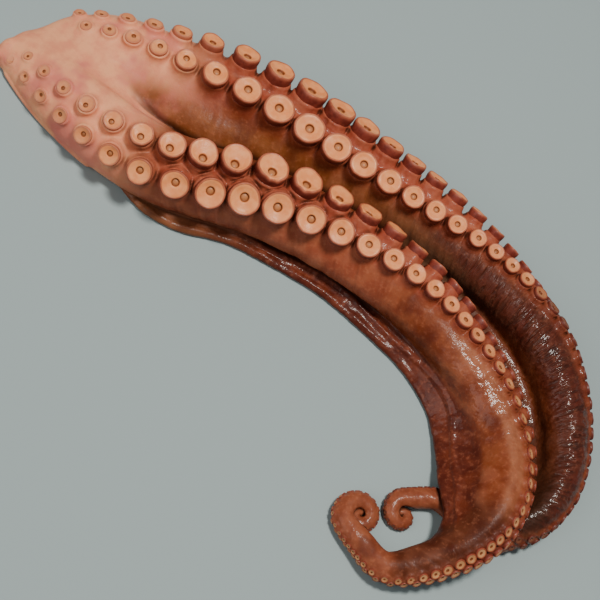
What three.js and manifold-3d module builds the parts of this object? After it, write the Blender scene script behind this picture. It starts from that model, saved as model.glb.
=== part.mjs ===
// Two cooked octopus arms, still joined by the flesh and web at their cut base.
// They lie side by side on a flat surface with the suckers up, bend round together,
// and end in curled tips. Millimetres, +Z up, standing on z = 0.
import * as THREE from "three";
import { mergeVertices } from "three/addons/utils/BufferGeometryUtils.js";
import Module from "manifold-3d";

const wasm = await Module();
wasm.setup();

// ---- driving dimensions -------------------------------------------------------------

// Where the object's own middle lies in the plan that the stations are measured in.
const PLAN_CENTRE_X = -11.5;
const PLAN_CENTRE_Y = 3;

// Each limb is a row of stations: x, y, half width, half height, roll, lift.
// Roll turns the sucker side from straight up towards the outside of the bend.
// Lift is how far the underside hangs above the surface.
const FAR_ARM = [
  [-165.5, 10, 3, 4, 8, 0],
  [-160, 23.5, 6, 6.5, 12, 0],
  [-150, 29.5, 13, 8.5, 14, 0],
  [-138, 35, 16, 10, 13, 0],
  [-122, 40.5, 16.5, 11.5, 11, 0],
  [-98, 48, 16.5, 12.5, 9, 0],
  [-68, 54.5, 16.5, 13.5, 8, 0],
  [-38, 59, 16.5, 13.5, 9, 0],
  [-8, 63.5, 16.5, 13.5, 11, 0],
  [22, 68, 16, 13, 15, 0],
  [50, 69, 15, 12.5, 27, 0],
  [77, 65, 14, 12, 46, 0],
  [99, 57, 14, 12, 64, 0],
  [117, 45, 13, 11, 76, 0],
  [132, 28, 12, 10.3, 88, 0],
  [141, 6, 11, 9, 92, 0],
  [140, -16, 9.5, 7, 75, 0],
  [129, -31, 8, 5.5, 30, 0],
  [115, -34, 6.5, 4.8, -35, 0],
  [102, -34, 5, 4.6, -75, 0],
];
const NEAR_ARM = [
  [-170, -2, 7, 4, -20, 0],
  [-156, -4, 11, 6, -32, 0],
  [-140, -6, 14, 8, -38, 0],
  [-120, -6.5, 16, 10.5, -36, 0],
  [-100, -5, 16.5, 12, -30, 0],
  [-78, 1, 16.5, 13, -22, 0],
  [-48, 16, 16.5, 13.5, -12, 0],
  [-18, 26, 16.5, 13.5, -2, 0],
  [12, 31, 16.5, 13.5, 10, 0],
  [42, 31, 15.5, 13, 24, 0],
  [71, 25, 14.5, 12.5, 36, 0],
  [96, 14.5, 13.5, 12, 45, 0],
  [114, -3, 12.5, 11.5, 50, 3],
  [122, -23, 11.5, 11, 52, 7],
  [122, -41, 10, 10, 50, 6],
  [113, -61, 8.5, 8.5, 52, 2],
  [100, -74.5, 7, 6.5, 70, 0],
  [86, -73, 5.8, 5.6, 88, 0],
];

// The tips are logarithmic spirals about a centre, lying on the surface.
const FAR_CURL = {
  centre: [93.6, -49.3], radius: [8.6, 1.6], start: 98, turn: 400, size: [4.6, 1], roll: -82, steps: 8,
};
const NEAR_CURL = {
  centre: [79, -62.8], radius: [8.3, 2.3], start: 232, turn: -470, size: [4.6, 2], roll: 88, steps: 9,
};

// The wedge of pale flesh between the two arms at the cut end.
const PALM = [
  [-174, -6, 3, 3, 0, 0],
  [-169, -2, 6, 4.5, 0, 0],
  [-160, 6, 12, 6.5, 0, 0],
  [-147, 12, 19, 8.5, 0, 0],
  [-133, 14, 18, 9, 0, 0],
  [-120, 16, 11, 8, 0, 0],
  [-108, 18, 4, 6, 0, 0],
];

// The free web along the near arm: distance along that arm, the free edge's x, y, z,
// and how high on the arm it joins, in half heights above its middle.
const FLAP = [
  [68, -101, -15, 3, 0],
  [88, -81, -20, 3, 0],
  [108, -62, -15, 3, 0],
  [130, -43, -4, 3, 0],
  [152, -22, 1.5, 3, 0],
  [180, 4, 5.5, 3, 0],
  [204, 27, 5.5, 3, 0.1],
  [232, 52, 4, 3, 0.3],
  [252, 65, 0.5, 3, 0.55],
  [272, 78, -8, 3.5, 0.7],
  [294, 94, -23, 6, 0.75],
  [308, 103, -32, 11, 0.75],
  [320, 109, -42, 9, 0.75],
  [328, 112, -48, 7, 0.75],
];
const FLAP_THICKNESS = 2.6;

// The web in the valley between the arms: distances along the far and near arm, and how
// high it joins each of them, in half heights above the middle.
const VALLEY = [
  [57, 46, 0.2, -0.1],
  [90, 82, 0.3, -0.5],
  [127, 120, 0.35, -0.5],
  [197, 190, 0.4, -0.4],
  [257, 245, 0.45, -0.3],
  [301, 285, 0.4, -0.3],
  [336, 312, 0.1, -0.5],
];

// The outer diameter of a sucker by its distance along an arm.
const SUCKER_DIAMETER = [
  [0, 3.6], [30, 6], [60, 9], [85, 12.4], [105, 13.9], [128, 15.2], [150, 14.2], [165, 13],
  [180, 11.9], [195, 10.7], [215, 9.6], [230, 8.6], [250, 7.4], [280, 6.2], [330, 5.2],
  [365, 5.6], [384, 4.6],
];

// Each arm's two rows of suckers: where the first one stands and in which row, then by
// distance the step between two of a row and how far each row is from the middle line.
const FAR_SUCKERS = {
  first: 20,
  firstRow: 1,
  step: [
    [20, 9], [24, 9], [30, 10.8], [42, 11.4], [56, 12.6], [70, 14], [80, 16.2], [100, 16.1],
    [130, 15.8], [145, 14.5], [165, 13.7], [185, 12.6], [205, 12], [218, 11.6], [230, 10],
    [255, 8.8], [275, 7.6], [300, 6.4], [330, 5.5], [384, 5],
  ],
  offset: [
    [0, 3], [48, 6.5], [88, 10], [118, 11], [150, 11.5], [190, 10.5], [238, 8.6], [278, 7],
    [328, 4.5], [384, 3],
  ],
};
const NEAR_SUCKERS = {
  first: 5.5,
  firstRow: -1,
  step: [
    [5, 11.5], [17, 11.5], [40, 12.8], [80, 13.4], [100, 14], [112, 15.5], [123, 16.4], [150, 16],
    [165, 14.6], [180, 13.4], [198, 12], [215, 10.5], [232, 8.8], [250, 8.2], [285, 8],
    [300, 7], [312, 6], [322, 4.8], [332, 4.1], [348, 4.2], [356, 5.4], [384, 5.2],
  ],
  offset: [
    [0, 3], [40, 5.5], [80, 8], [110, 9], [150, 9], [190, 8.8], [230, 7.5], [270, 5.5],
    [320, 4], [384, 2.8],
  ],
};
const LAST_SUCKER = 384;          // beyond this they are too fine, on the curled tips

// By distance: the degrees that each row leans out from the middle line, and the height of
// a sucker's face over the arm in diameters, for they sink in towards the base and the tips.
const SUCKER_SPLAY = [[0, 12], [90, 15], [125, 20], [155, 25], [215, 25], [260, 14], [384, 12]];
const STALK_HEIGHT = [[0, 0.19], [90, 0.55], [215, 0.55], [255, 0.42], [300, 0.32], [384, 0.25]];

const OPEN_CUP_DIAMETER = 10.5;   // suckers wider than this show their hollow face
const STUD_DIAMETER = 6.2;        // suckers narrower than this are plain studs

const PRESS = 0.8;                // how far a limb's own weight flattens it
const END_SHARE = 0.6;            // of its section, the size of a limb's very end

const LIMB_SIDES = 10;
const RINGS_PER_STATION = 2;
const FLAP_STEPS = 20;
const VALLEY_STEPS = 12;
const LENGTH_DIVISIONS = 800;     // pieces a limb's path is measured in
const JOIN_TOLERANCE = 1e-4;      // vertices closer than this are one

// ---- limbs --------------------------------------------------------------------------

function profile(table, distance) {
  const last = table.length - 1;
  if (distance <= table[0][0]) return table[0][1];
  if (distance >= table[last][0]) return table[last][1];
  const i = table.findIndex((row) => row[0] > distance) - 1;
  const part = (distance - table[i][0]) / (table[i + 1][0] - table[i][0]);
  return THREE.MathUtils.lerp(table[i][1], table[i + 1][1], part);
}

function curlStations({ centre, radius, start, turn, size, roll, steps }) {
  const rows = [];
  for (let step = 0; step <= steps; step += 1) {
    const part = step / steps;
    const r = radius[0] * (radius[1] / radius[0]) ** part;
    const half = size[0] * (size[1] / size[0]) ** part;
    const angle = THREE.MathUtils.degToRad(start + turn * part);
    rows.push([centre[0] + r * Math.cos(angle), centre[1] + r * Math.sin(angle), half, half, roll, 0]);
  }
  return rows;
}

// A smooth limb through its stations, with the frame of any section by distance.
class Limb {
  constructor(stations) {
    const centres = [];
    const sections = [];
    for (const [x, y, halfWidth, halfHeight, roll, lift] of stations) {
      const turn = THREE.MathUtils.degToRad(roll);
      const reach = Math.hypot(halfHeight * Math.cos(turn), halfWidth * Math.sin(turn));
      centres.push(new THREE.Vector3(x - PLAN_CENTRE_X, y - PLAN_CENTRE_Y, reach - PRESS + lift));
      sections.push(new THREE.Vector3(halfWidth, halfHeight, turn));
    }
    this.path = new THREE.CatmullRomCurve3(centres, false, "catmullrom", 0.5);
    this.path.arcLengthDivisions = LENGTH_DIVISIONS;
    this.section = new THREE.CatmullRomCurve3(sections, false, "catmullrom", 0.5);
    this.length = this.path.getLength();
    this.rings = RINGS_PER_STATION * (stations.length - 1);
  }

  at(distance) {
    return this.frame(this.path.getUtoTmapping(distance / this.length));
  }

  // The middle of a section, its directions and half sizes, with t from 0 to 1.
  frame(t) {
    const centre = this.path.getPoint(t);
    const { x: halfWidth, y: halfHeight, z: turn } = this.section.getPoint(t);
    const along = this.path.getTangent(t);
    const up = new THREE.Vector3(0, 0, 1).addScaledVector(along, -along.z).normalize();
    const left = new THREE.Vector3().crossVectors(up, along);
    const oral = up.clone().multiplyScalar(Math.cos(turn)).addScaledVector(left, Math.sin(turn));
    const side = left.clone().multiplyScalar(Math.cos(turn)).addScaledVector(up, -Math.sin(turn));
    return { centre, along, oral, side, halfWidth, halfHeight };
  }
}

// ---- solids -------------------------------------------------------------------------

function toSolid(geometry) {
  const bare = geometry.clone();
  bare.deleteAttribute("normal");
  bare.deleteAttribute("uv");
  const merged = mergeVertices(bare, JOIN_TOLERANCE);
  const mesh = new wasm.Mesh({
    numProp: 3,
    vertProperties: new Float32Array(merged.attributes.position.array),
    triVerts: new Uint32Array(merged.index.array),
  });
  return new wasm.Manifold(mesh);
}

function moveVertices(geometry, place) {
  const position = geometry.attributes.position;
  const point = new THREE.Vector3();
  for (let i = 0; i < position.count; i += 1) {
    point.fromBufferAttribute(position, i);
    const moved = place(point);
    position.setXYZ(i, moved.x, moved.y, Math.max(moved.z, 0));
  }
  return geometry;
}

// A limb's body: a cylinder bent along the limb, with a section that changes on the way.
function limbBody(limb) {
  const geometry = new THREE.CylinderGeometry(1, 1, 1, LIMB_SIDES, limb.rings);
  return toSolid(moveVertices(geometry, (point) => {
    const t = 0.5 - point.y;
    const { centre, oral, side, halfWidth, halfHeight } = limb.frame(t);
    const atEnd = Math.min(t, 1 - t) < 0.5 / limb.rings;
    const closing = atEnd ? END_SHARE : 1;
    return centre
      .addScaledVector(side, point.x * halfWidth * closing)
      .addScaledVector(oral, point.z * halfHeight * closing);
  }));
}

// A sheet of flesh: a flat box bent so that its two long edges follow two curves.
function sheet(nearEdge, farEdge, steps, across, bottomOf) {
  const geometry = new THREE.BoxGeometry(1, 1, 1, steps, across, 1);
  return toSolid(moveVertices(geometry, (point) => {
    const near = nearEdge(point.x + 0.5);
    const far = farEdge(point.x + 0.5);
    const place = near.clone().lerp(far, point.y + 0.5);
    if (point.z < 0) place.z = bottomOf(place.z);
    return place;
  }));
}

function curveThrough(points) {
  const curve = new THREE.CatmullRomCurve3(points, false, "catmullrom", 0.5);
  return (part) => curve.getPoint(part);
}

// Where a sheet joins an arm: in the middle of it, the given share of its half height up.
function joinPoint(arm, distance, joinHeight) {
  const { centre, halfHeight } = arm.at(distance);
  return centre.setZ(centre.z + joinHeight * halfHeight);
}

function flap(arm) {
  const edge = curveThrough(FLAP.map(([, x, y, z]) => (
    new THREE.Vector3(x - PLAN_CENTRE_X, y - PLAN_CENTRE_Y, z))));
  const root = curveThrough(FLAP.map(([distance, , , , joinHeight]) => (
    joinPoint(arm, distance, joinHeight))));
  return sheet(edge, root, FLAP_STEPS, 2, (z) => z - FLAP_THICKNESS);
}

function valleyWeb(farArm, nearArm) {
  const farLine = curveThrough(VALLEY.map(([distance, , joinHeight]) => (
    joinPoint(farArm, distance, joinHeight))));
  const nearLine = curveThrough(VALLEY.map(([, distance, , joinHeight]) => (
    joinPoint(nearArm, distance, joinHeight))));
  return sheet(nearLine, farLine, VALLEY_STEPS, 1, () => 0);
}

// ---- suckers ------------------------------------------------------------------------

// Profiles of a sucker of diameter 1: radius, height above the face.
const OPEN_CUP = {
  sides: 7,
  outline: [[0, -1], [0.38, -0.7], [0.49, -0.2], [0.45, 0], [0.36, -0.03], [0, -0.15]],
};
const CLOSED_CUP = {
  sides: 5,
  outline: [[0, -1], [0.38, -0.7], [0.49, -0.2], [0.42, 0], [0, -0.05]],
};
const STUD = {
  sides: 4,
  outline: [[0, -1], [0.48, -0.3], [0.42, 0], [0, 0]],
};

function suckerSolid(diameter, place, axis) {
  let kind = CLOSED_CUP;
  if (diameter > OPEN_CUP_DIAMETER) kind = OPEN_CUP;
  if (diameter < STUD_DIAMETER) kind = STUD;
  const outline = kind.outline.map(([r, h]) => new THREE.Vector2(r * diameter, h * diameter));
  const geometry = new THREE.LatheGeometry(outline, kind.sides);
  const turn = new THREE.Quaternion().setFromUnitVectors(new THREE.Vector3(0, 1, 0), axis);
  return toSolid(moveVertices(geometry, (point) => point.applyQuaternion(turn).add(place)));
}

// Two rows of suckers down an arm, each row half a step behind the other.
function suckerRows(arm, { first, firstRow, step, offset }) {
  const solids = [];
  let row = firstRow;
  for (let distance = first; distance < LAST_SUCKER; distance += profile(step, distance) / 2) {
    const diameter = profile(SUCKER_DIAMETER, distance);
    const { centre, oral, side, halfHeight } = arm.at(distance);
    const splay = THREE.MathUtils.degToRad(profile(SUCKER_SPLAY, distance));
    const axis = oral.clone().multiplyScalar(Math.cos(splay)).addScaledVector(side, row * Math.sin(splay));
    const place = centre
      .addScaledVector(oral, halfHeight + profile(STALK_HEIGHT, distance) * diameter)
      .addScaledVector(side, row * profile(offset, distance));
    solids.push(suckerSolid(diameter, place, axis));
    row = -row;
  }
  return solids;
}

// ---- the whole ----------------------------------------------------------------------

function octopusArms() {
  const farArm = new Limb([...FAR_ARM, ...curlStations(FAR_CURL)]);
  const nearArm = new Limb([...NEAR_ARM, ...curlStations(NEAR_CURL)]);
  const palm = new Limb(PALM);
  const solids = [limbBody(farArm), limbBody(nearArm), limbBody(palm)];
  solids.push(valleyWeb(farArm, nearArm));
  solids.push(flap(nearArm));
  solids.push(...suckerRows(farArm, FAR_SUCKERS));
  solids.push(...suckerRows(nearArm, NEAR_SUCKERS));
  return solids.reduce((whole, solid) => whole.add(solid));
}

function toMesh(solid, name, material) {
  const { vertProperties, triVerts } = solid.getMesh();
  const geometry = new THREE.BufferGeometry();
  geometry.setAttribute("position", new THREE.BufferAttribute(vertProperties, 3));
  geometry.setIndex(new THREE.BufferAttribute(triVerts, 1));
  geometry.computeVertexNormals();
  const mesh = new THREE.Mesh(geometry, material);
  mesh.name = name;
  return mesh;
}

const cookedFlesh = new THREE.MeshStandardMaterial({ color: 0xa4553a, roughness: 0.35, metalness: 0 });

const group = new THREE.Group();
group.add(toMesh(octopusArms(), "octopus_arms", cookedFlesh));

export default group;
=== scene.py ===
"""Looks of a pair of cooked octopus arms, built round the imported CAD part.

The flesh is one smooth distance field in millimetres: two arms, the palm between them at
the cut base, the belly of flesh in the valley, the free web flap and a stalk under each
sucker. Its surface becomes four meshes. The sucker cups are turned meshes on the stalks.
"""
import math

import bpy
import numpy as np
from mathutils import Matrix, Vector


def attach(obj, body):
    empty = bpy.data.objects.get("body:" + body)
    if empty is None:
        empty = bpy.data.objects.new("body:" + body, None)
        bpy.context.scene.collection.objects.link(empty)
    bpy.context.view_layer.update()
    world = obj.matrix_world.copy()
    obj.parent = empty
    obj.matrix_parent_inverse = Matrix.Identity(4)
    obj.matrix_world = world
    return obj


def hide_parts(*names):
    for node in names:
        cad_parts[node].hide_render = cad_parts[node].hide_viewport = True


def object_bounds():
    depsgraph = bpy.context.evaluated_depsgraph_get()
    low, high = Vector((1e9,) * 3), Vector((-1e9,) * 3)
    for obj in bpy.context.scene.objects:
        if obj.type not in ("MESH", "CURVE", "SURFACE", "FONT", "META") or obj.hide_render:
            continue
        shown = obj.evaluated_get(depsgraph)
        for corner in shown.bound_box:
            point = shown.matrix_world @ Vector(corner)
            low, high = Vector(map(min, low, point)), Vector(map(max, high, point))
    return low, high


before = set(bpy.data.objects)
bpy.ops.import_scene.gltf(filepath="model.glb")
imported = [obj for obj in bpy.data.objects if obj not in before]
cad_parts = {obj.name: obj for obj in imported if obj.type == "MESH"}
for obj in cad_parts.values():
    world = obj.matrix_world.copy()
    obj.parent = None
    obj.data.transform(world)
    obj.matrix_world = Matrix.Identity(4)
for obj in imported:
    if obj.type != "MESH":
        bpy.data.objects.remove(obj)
cad_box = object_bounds()

MM = 0.001

# ---- driving dimensions (millimetres, degrees) ----
#
# The arms and the palm are those of the CAD part. The curls, the flap's edge and the suckers
# round the bends follow the photograph more closely than its plain solids do.

PLAN_CENTRE = (-11.5, 3.0)       # of the whole part, in the plan that the tables below are in
PRESS = 0.8                      # how far the arms sink into what they lie on
CAP_LENGTH = 0.6                 # of a limb's rounded end, in half heights

# Stations of a limb: x, y, half width, half height, roll, lift.
FAR_ARM = [
    [-165.5, 10, 3, 4, 8, 0],
    [-160, 23.5, 6, 6.5, 12, 0],
    [-150, 29.5, 13, 8.5, 14, 0],
    [-138, 35, 16, 10, 13, 0],
    [-122, 40.5, 16.5, 11.5, 11, 0],
    [-98, 48, 16.5, 12.5, 9, 0],
    [-68, 54.5, 16.5, 13.5, 8, 0],
    [-38, 59, 16.5, 13.5, 9, 0],
    [-8, 63.5, 16.5, 13.5, 11, 0],
    [22, 68, 16, 13, 15, 0],
    [50, 69, 15, 12.5, 27, 0],
    [77, 65, 14, 12, 46, 0],
    [99, 57, 14, 12, 64, 0],
    [117, 45, 13, 11, 76, 0],
    [132, 28, 12, 10.3, 88, 0],
    [141, 6, 11, 9, 92, 0],
    [140, -16, 9.5, 7, 75, 0],
    [129, -31, 8, 5.5, 30, 0],
    [115, -34, 6.5, 4.8, -35, 0],
    [102, -34, 5, 4.6, -75, 0],
]
NEAR_ARM = [
    [-170, -2, 7, 4, -20, 0],
    [-156, -4, 11, 6, -32, 0],
    [-140, -6, 14, 8, -38, 0],
    [-120, -6.5, 16, 10.5, -36, 0],
    [-100, -5, 16.5, 12, -30, 0],
    [-78, 1, 16.5, 13, -22, 0],
    [-48, 16, 16.5, 13.5, -12, 0],
    [-18, 26, 16.5, 13.5, -2, 0],
    [12, 31, 16.5, 13.5, 10, 0],
    [42, 31, 15.5, 13, 24, 0],
    [71, 25, 14.5, 12.5, 36, 0],
    [96, 14.5, 13.5, 12, 45, 0],
    [114, -3, 12.5, 11.5, 50, 3],
    [122, -23, 11.5, 11, 52, 7],
    [122, -41, 10, 10, 50, 6],
    [113, -61, 8.5, 8.5, 52, 2],
    [100, -74.5, 7, 6.5, 70, 0],
    [86, -73, 5.8, 5.6, 88, 0],
]
PALM = [
    [-174, -6, 3, 3, 0, 0],
    [-169, -2, 6, 4.5, 0, 0],
    [-160, 6, 12, 6.5, 0, 0],
    [-147, 12, 19, 8.5, 0, 0],
    [-133, 14, 18, 9, 0, 0],
    [-120, 16, 11, 8, 0, 0],
    [-108, 18, 4, 6, 0, 0],
]

# The curled tips, as spirals: middle, first and last radius, angles, first and last half size.
FAR_CURL = dict(
    centre=(93.6, -49.3), radius=(8.2, 1.4), start=98, turn=440, size=(4.4, 1.6), roll=-82, steps=9)
NEAR_CURL = dict(
    centre=(79, -62.8), radius=(8.3, 1.8), start=232, turn=-490, size=(4.7, 2.3), roll=88, steps=9)

# The free edge of the web flap: x, y, height.
FLAP = [
    [-107.5, -13.4, 3],
    [-101, -13.8, 3],
    [-81, -18, 3],
    [-62, -14, 3],
    [-43, -3, 3],
    [-22, 3.3, 3],
    [4, 8.6, 3],
    [27, 9, 3],
    [52, 7.4, 3],
    [65.3, 3.8, 3],
    [76, -1.2, 3],
    [81, -5.4, 3.3],
    [87.2, -12.3, 4.5],
    [92.3, -19.2, 6.5],
    [97, -27.4, 9.5],
    [101.7, -35.6, 12.5],
    [106.2, -40, 13],
    [109, -44.8, 12],
    [111.8, -50, 9],
]
FLAP_THICKNESS = 2.6
FLAP_EDGE_RADIUS = 1.55          # of the rolled edge
FLAP_FOLD_RADIUS = 1.5           # of the fold that runs along it
FLAP_FOLD_AWAY = 6.2             # from the edge to that fold
VALLEY_ENDS = (46, 312)          # the stretch of the near arm along which the valley is filled

# Every table below is read by distance along the arm, unless it says otherwise.
SUCKER_DIAMETER = [
    [0, 3.6], [30, 6], [60, 9], [85, 12.4], [105, 13.9], [128, 15.2], [150, 14.2], [165, 13],
    [180, 11.9], [195, 10.7], [215, 9.6], [230, 8.6], [250, 7.4], [280, 6.2], [330, 5.2],
    [362, 5], [378, 3.8], [400, 2.7], [440, 1.9], [460, 1.2],
]
# A sucker's step to the next one of its row, the row's offset from the arm's middle, and how
# much wider than the table of diameters a sucker is.
FAR_SUCKERS = dict(
    first=20,
    first_row=1,
    step=[
        [20, 9], [24, 9], [30, 10.8], [42, 11.4], [56, 12.6], [70, 14], [80, 16.2], [100, 16.1],
        [130, 15.8], [145, 14.5], [165, 13.7], [185, 12.6], [205, 12], [218, 11.6], [230, 10],
        [255, 8.8], [275, 7.6], [300, 6.4], [330, 5.5], [384, 5], [410, 3.4], [440, 2.3], [460, 1.6],
    ],
    offset=[
        [0, 3], [48, 6.5], [88, 10], [118, 11], [150, 11.5], [190, 10.5], [238, 8.6], [285, 7.4],
        [305, 5.2], [325, 3.6], [350, 3], [384, 2.5], [460, 0.6],
    ],
    growth=[[240, 1], [275, 1.14], [360, 1.14], [400, 1]],
)
NEAR_SUCKERS = dict(
    first=5.5,
    first_row=-1,
    step=[
        [5, 11.5], [17, 11.5], [40, 12.8], [80, 13.4], [100, 14], [112, 15.5], [123, 16.4], [150, 16],
        [165, 14.6], [180, 13.4], [198, 12], [215, 10.5], [232, 8.8], [250, 8.2], [285, 8],
        [300, 7], [312, 6], [322, 4.8], [332, 4.1], [348, 4.2], [356, 5.4], [372, 4.8],
        [390, 3.4], [410, 2.8], [440, 2.1], [460, 1.6],
    ],
    offset=[
        [0, 3], [40, 5.5], [80, 8], [110, 9], [150, 9], [190, 8.8], [230, 7.5], [270, 5.5],
        [320, 4], [345, 3.4], [362, 1.8], [384, 1.2], [460, 0.6],
    ],
    growth=[[0, 1], [460, 1]],
)
# Outward tilt of the suckers, by arm and row.
SUCKER_SPLAY = {
    ("far", -1): [
        [0, 12], [90, 15], [125, 20], [155, 25], [215, 32], [254, 38], [270, 20], [300, 12], [384, 12],
    ],
    ("far", 1): [[0, 12], [90, 14], [125, 18], [150, 20], [175, 25], [215, 28], [260, 14], [384, 12]],
    ("near", -1): [
        [0, 12], [90, 15], [125, 20], [155, 25], [240, 24], [264, 14], [280, 9], [335, 8], [352, 12],
        [384, 12],
    ],
    ("near", 1): [[0, 12], [90, 14], [125, 15], [150, 18], [170, 28], [215, 40], [290, 28], [384, 12]],
}
# Height of a cup's rim over the arm, in diameters.
STALK_HEIGHT = [[0, 0.19], [90, 0.55], [215, 0.55], [255, 0.42], [300, 0.32], [384, 0.25]]

# ---- what the CAD part leaves out ----

# The pinkish shoulder between the near arm's upper suckers and the crease, as a limb.
SHOULDER = [
    [-150, 6, 8, 7, 0, 0],
    [-135, 8, 11, 8, 0, 0],
    [-118, 8.5, 11, 8, 0, 0],
    [-100, 9.5, 10, 7.8, 0, 0],
    [-82, 13, 8, 7.6, 0, 0],
    [-66, 20, 5.5, 7.5, 0, 0],
]
# How high the belly of flesh between the arms joins the far one, in half heights.
BELLY = [[50, 0.5], [80, 0.85], [145, 0.85], [172, 0.6], [205, 0.1], [240, -0.3], [336, -0.5]]
# How high over the near arm's middle the belly's foot lies in the crease, in half heights.
CREASE_HEIGHT = [[40, 0.1], [100, -0.1], [150, -0.2], [200, -0.6], [330, -0.7]]
# How far the crease lies to the left of the near arm's middle.
CREASE = [[40, 17], [60, 20], [82, 21], [100, 19], [125, 17], [160, 15.5], [220, 14], [330, 12]]
# How high on the near arm the flap's surface joins it, in half heights.
FLAP_JOIN = [
    [61, -0.5], [180, -0.55], [204, -0.4], [232, 0.05], [252, 0.5], [272, 0.8], [300, 0.9], [360, 0.8],
]
# How softly the flap runs into the arm (blending radius).
FLAP_BLEND = [[200, 1], [235, 2], [262, 7], [360, 7]]
# How softly the other shapes of the flesh run into each other (blending radii).
BLEND = dict(belly=5, shoulder=5, palm=7, lip=0.8, cut_rim=0.8, joined=9, parted=0.6, floor=1.2)
# The lip of flesh folded over at the very tip of the base.
LIP = [
    [-171.5, -8, 2.4, 3, 0, 3],
    [-171.5, -2, 3.4, 4, 0, 3.4],
    [-168.5, 5, 2.4, 3, 0, 3.4],
]
CUT_RIM_ENDS = (4, 62)           # the cut rim along the near edge of the base
CUT_RIM_RADIUS = 1.15
CREASE_FROM_X = (-137, -121)     # where the arms stop blending and start to meet in a crease
BELLY_FROM_X = (-136, -98)       # where the belly takes on its browner colour and its painted shade

# A stalk, for a sucker of diameter 1: height under the rim plane, radius.
STALK = [
    [-1.4, 0.84], [-1.1, 0.74], [-0.9, 0.65], [-0.75, 0.59], [-0.6, 0.545], [-0.48, 0.515],
    [-0.36, 0.495],
]
STALK_BLEND = 0.26               # how softly it runs into the arm, in diameters
COLLAR_WIDTH = 0.12              # what a collar of flesh adds to a stalk's radius
COLLAR_RISE = 0.27               # and to its height
COLLAR_RADII = (0.2, 0.4)        # between which it rises, round the cup's hole
BASE_COLLARS = (35, 100)         # the stretch over which the collars of the base end
BEND_COLLARS = (240, 285)        # and over which those of the bend begin
BEND_COLLAR = 0.75               # their size beside those of the base

# How far each hole is from its cup's middle, towards the arm's middle line, in diameters.
HOLE_SHIFT = [[20, 0.08], [90, 0.07], [125, 0.035], [200, 0.03]]
NEAR_UPPER_HOLE_SHIFT = [[20, 0.08], [90, 0.12], [110, 0.17], [185, 0.16], [220, 0.05]]

# ---- mesh settings ----

SAMPLE_STEP = 0.5                # between the samples of a limb
VOXEL = 0.62
BLOCK = 9                        # voxels along a block that is worked out at once
MARGIN = 4.0                     # of the grid round the CAD part's box
FLOOR_MARGIN = 2.2 * VOXEL       # of the grid under the floor
FIELD_FAR = 5.0                  # value of the field away from the surface

# ---- camera ----

CAMERA_DISTANCE = 600.0
CAMERA_ELEVATION = 60.0
CAMERA_ROLL = 40.6
CAMERA_TARGET = (-PLAN_CENTRE[0], -PLAN_CENTRE[1], 0.0)
CAMERA_VIEW_WIDTH = 270.0
SENSOR_WIDTH = 36.0


def make_camera():
    """Looks down from the front, turned about its own axis as the photograph is."""
    elevation, roll = math.radians(CAMERA_ELEVATION), math.radians(CAMERA_ROLL)
    back = Vector((0, -math.cos(elevation), math.sin(elevation)))
    level_up = Vector((0, math.sin(elevation), math.cos(elevation)))
    level_right = Vector((1, 0, 0))
    right = level_right * math.cos(roll) + level_up * math.sin(roll)
    up = level_up * math.cos(roll) - level_right * math.sin(roll)
    place = (Vector(CAMERA_TARGET) + back * CAMERA_DISTANCE) * MM
    turned = Matrix((right, up, back)).transposed().to_4x4()
    data = bpy.data.cameras.new("camera")
    data.sensor_width = SENSOR_WIDTH
    data.lens = SENSOR_WIDTH * CAMERA_DISTANCE / CAMERA_VIEW_WIDTH
    data.clip_start, data.clip_end = 0.01, 10
    camera = bpy.data.objects.new("camera", data)
    camera.matrix_world = Matrix.Translation(place) @ turned
    bpy.context.scene.collection.objects.link(camera)
    bpy.context.scene.camera = camera


# ---- small maths ----

def table(rows, value):
    """Straight-line reading of a table of two columns."""
    rows = np.asarray(rows, float)
    return np.interp(value, rows[:, 0], rows[:, 1])


def ramp(value, low, high):
    """0 at low, 1 at high, smooth between."""
    part = np.clip((value - low) / (high - low), 0, 1)
    return part * part * (3 - 2 * part)


def between(value, rise_from, rise_to, fall_from, fall_to):
    """1 from the end of the rise to the start of the fall, 0 outside, smooth."""
    return ramp(value, rise_from, rise_to) * (1 - ramp(value, fall_from, fall_to))


def bell(value, middle, width):
    return np.exp(-((value - middle) / width) ** 2)


def smooth_min(a, b, k):
    """The smaller of two distances, blended where they differ by less than k."""
    part = np.clip(0.5 + 0.5 * (b - a) / k, 0, 1)
    return b + (a - b) * part - k * part * (1 - part)


def smooth_max(a, b, k):
    return -smooth_min(-a, -b, k)


def unit(rows):
    return rows / np.linalg.norm(rows, axis=-1, keepdims=True)


def dot(a, b):
    return np.einsum("...i,...i->...", a, b)


def noise(points, seed):
    """Smooth random values from -1 to 1 at each row of points, with cells of size 1."""
    cell = np.floor(points).astype(np.int64)
    part = points - cell
    part = part * part * (3 - 2 * part)
    total = np.zeros(len(points))
    for corner in np.ndindex(2, 2, 2):
        i = cell + corner
        code = i[:, 0] * 374761393 + i[:, 1] * 668265263 + i[:, 2] * 69069069 + seed * 362437
        code = ((code ^ (code >> 13)) * 1274126177) & 0xFFFFFFFF
        value = ((code ^ (code >> 16)) & 0xFFFF) / 32767.5 - 1
        total += value * np.prod(np.where(corner, part, 1 - part), axis=1)
    return total


# ---- limbs ----

def catmull(rows, t):
    """Uniform Catmull-Rom spline through rows, t from 0 to len(rows) - 1."""
    padded = np.vstack([2 * rows[0] - rows[1], rows, 2 * rows[-1] - rows[-2]])
    i = np.clip(t.astype(int), 0, len(rows) - 2)
    f = (t - i)[:, None]
    a, b, c, d = (padded[i + k] for k in range(4))
    return b + 0.5 * f * (c - a + f * (2 * a - 5 * b + 4 * c - d + f * (3 * (b - c) + d - a)))


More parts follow.
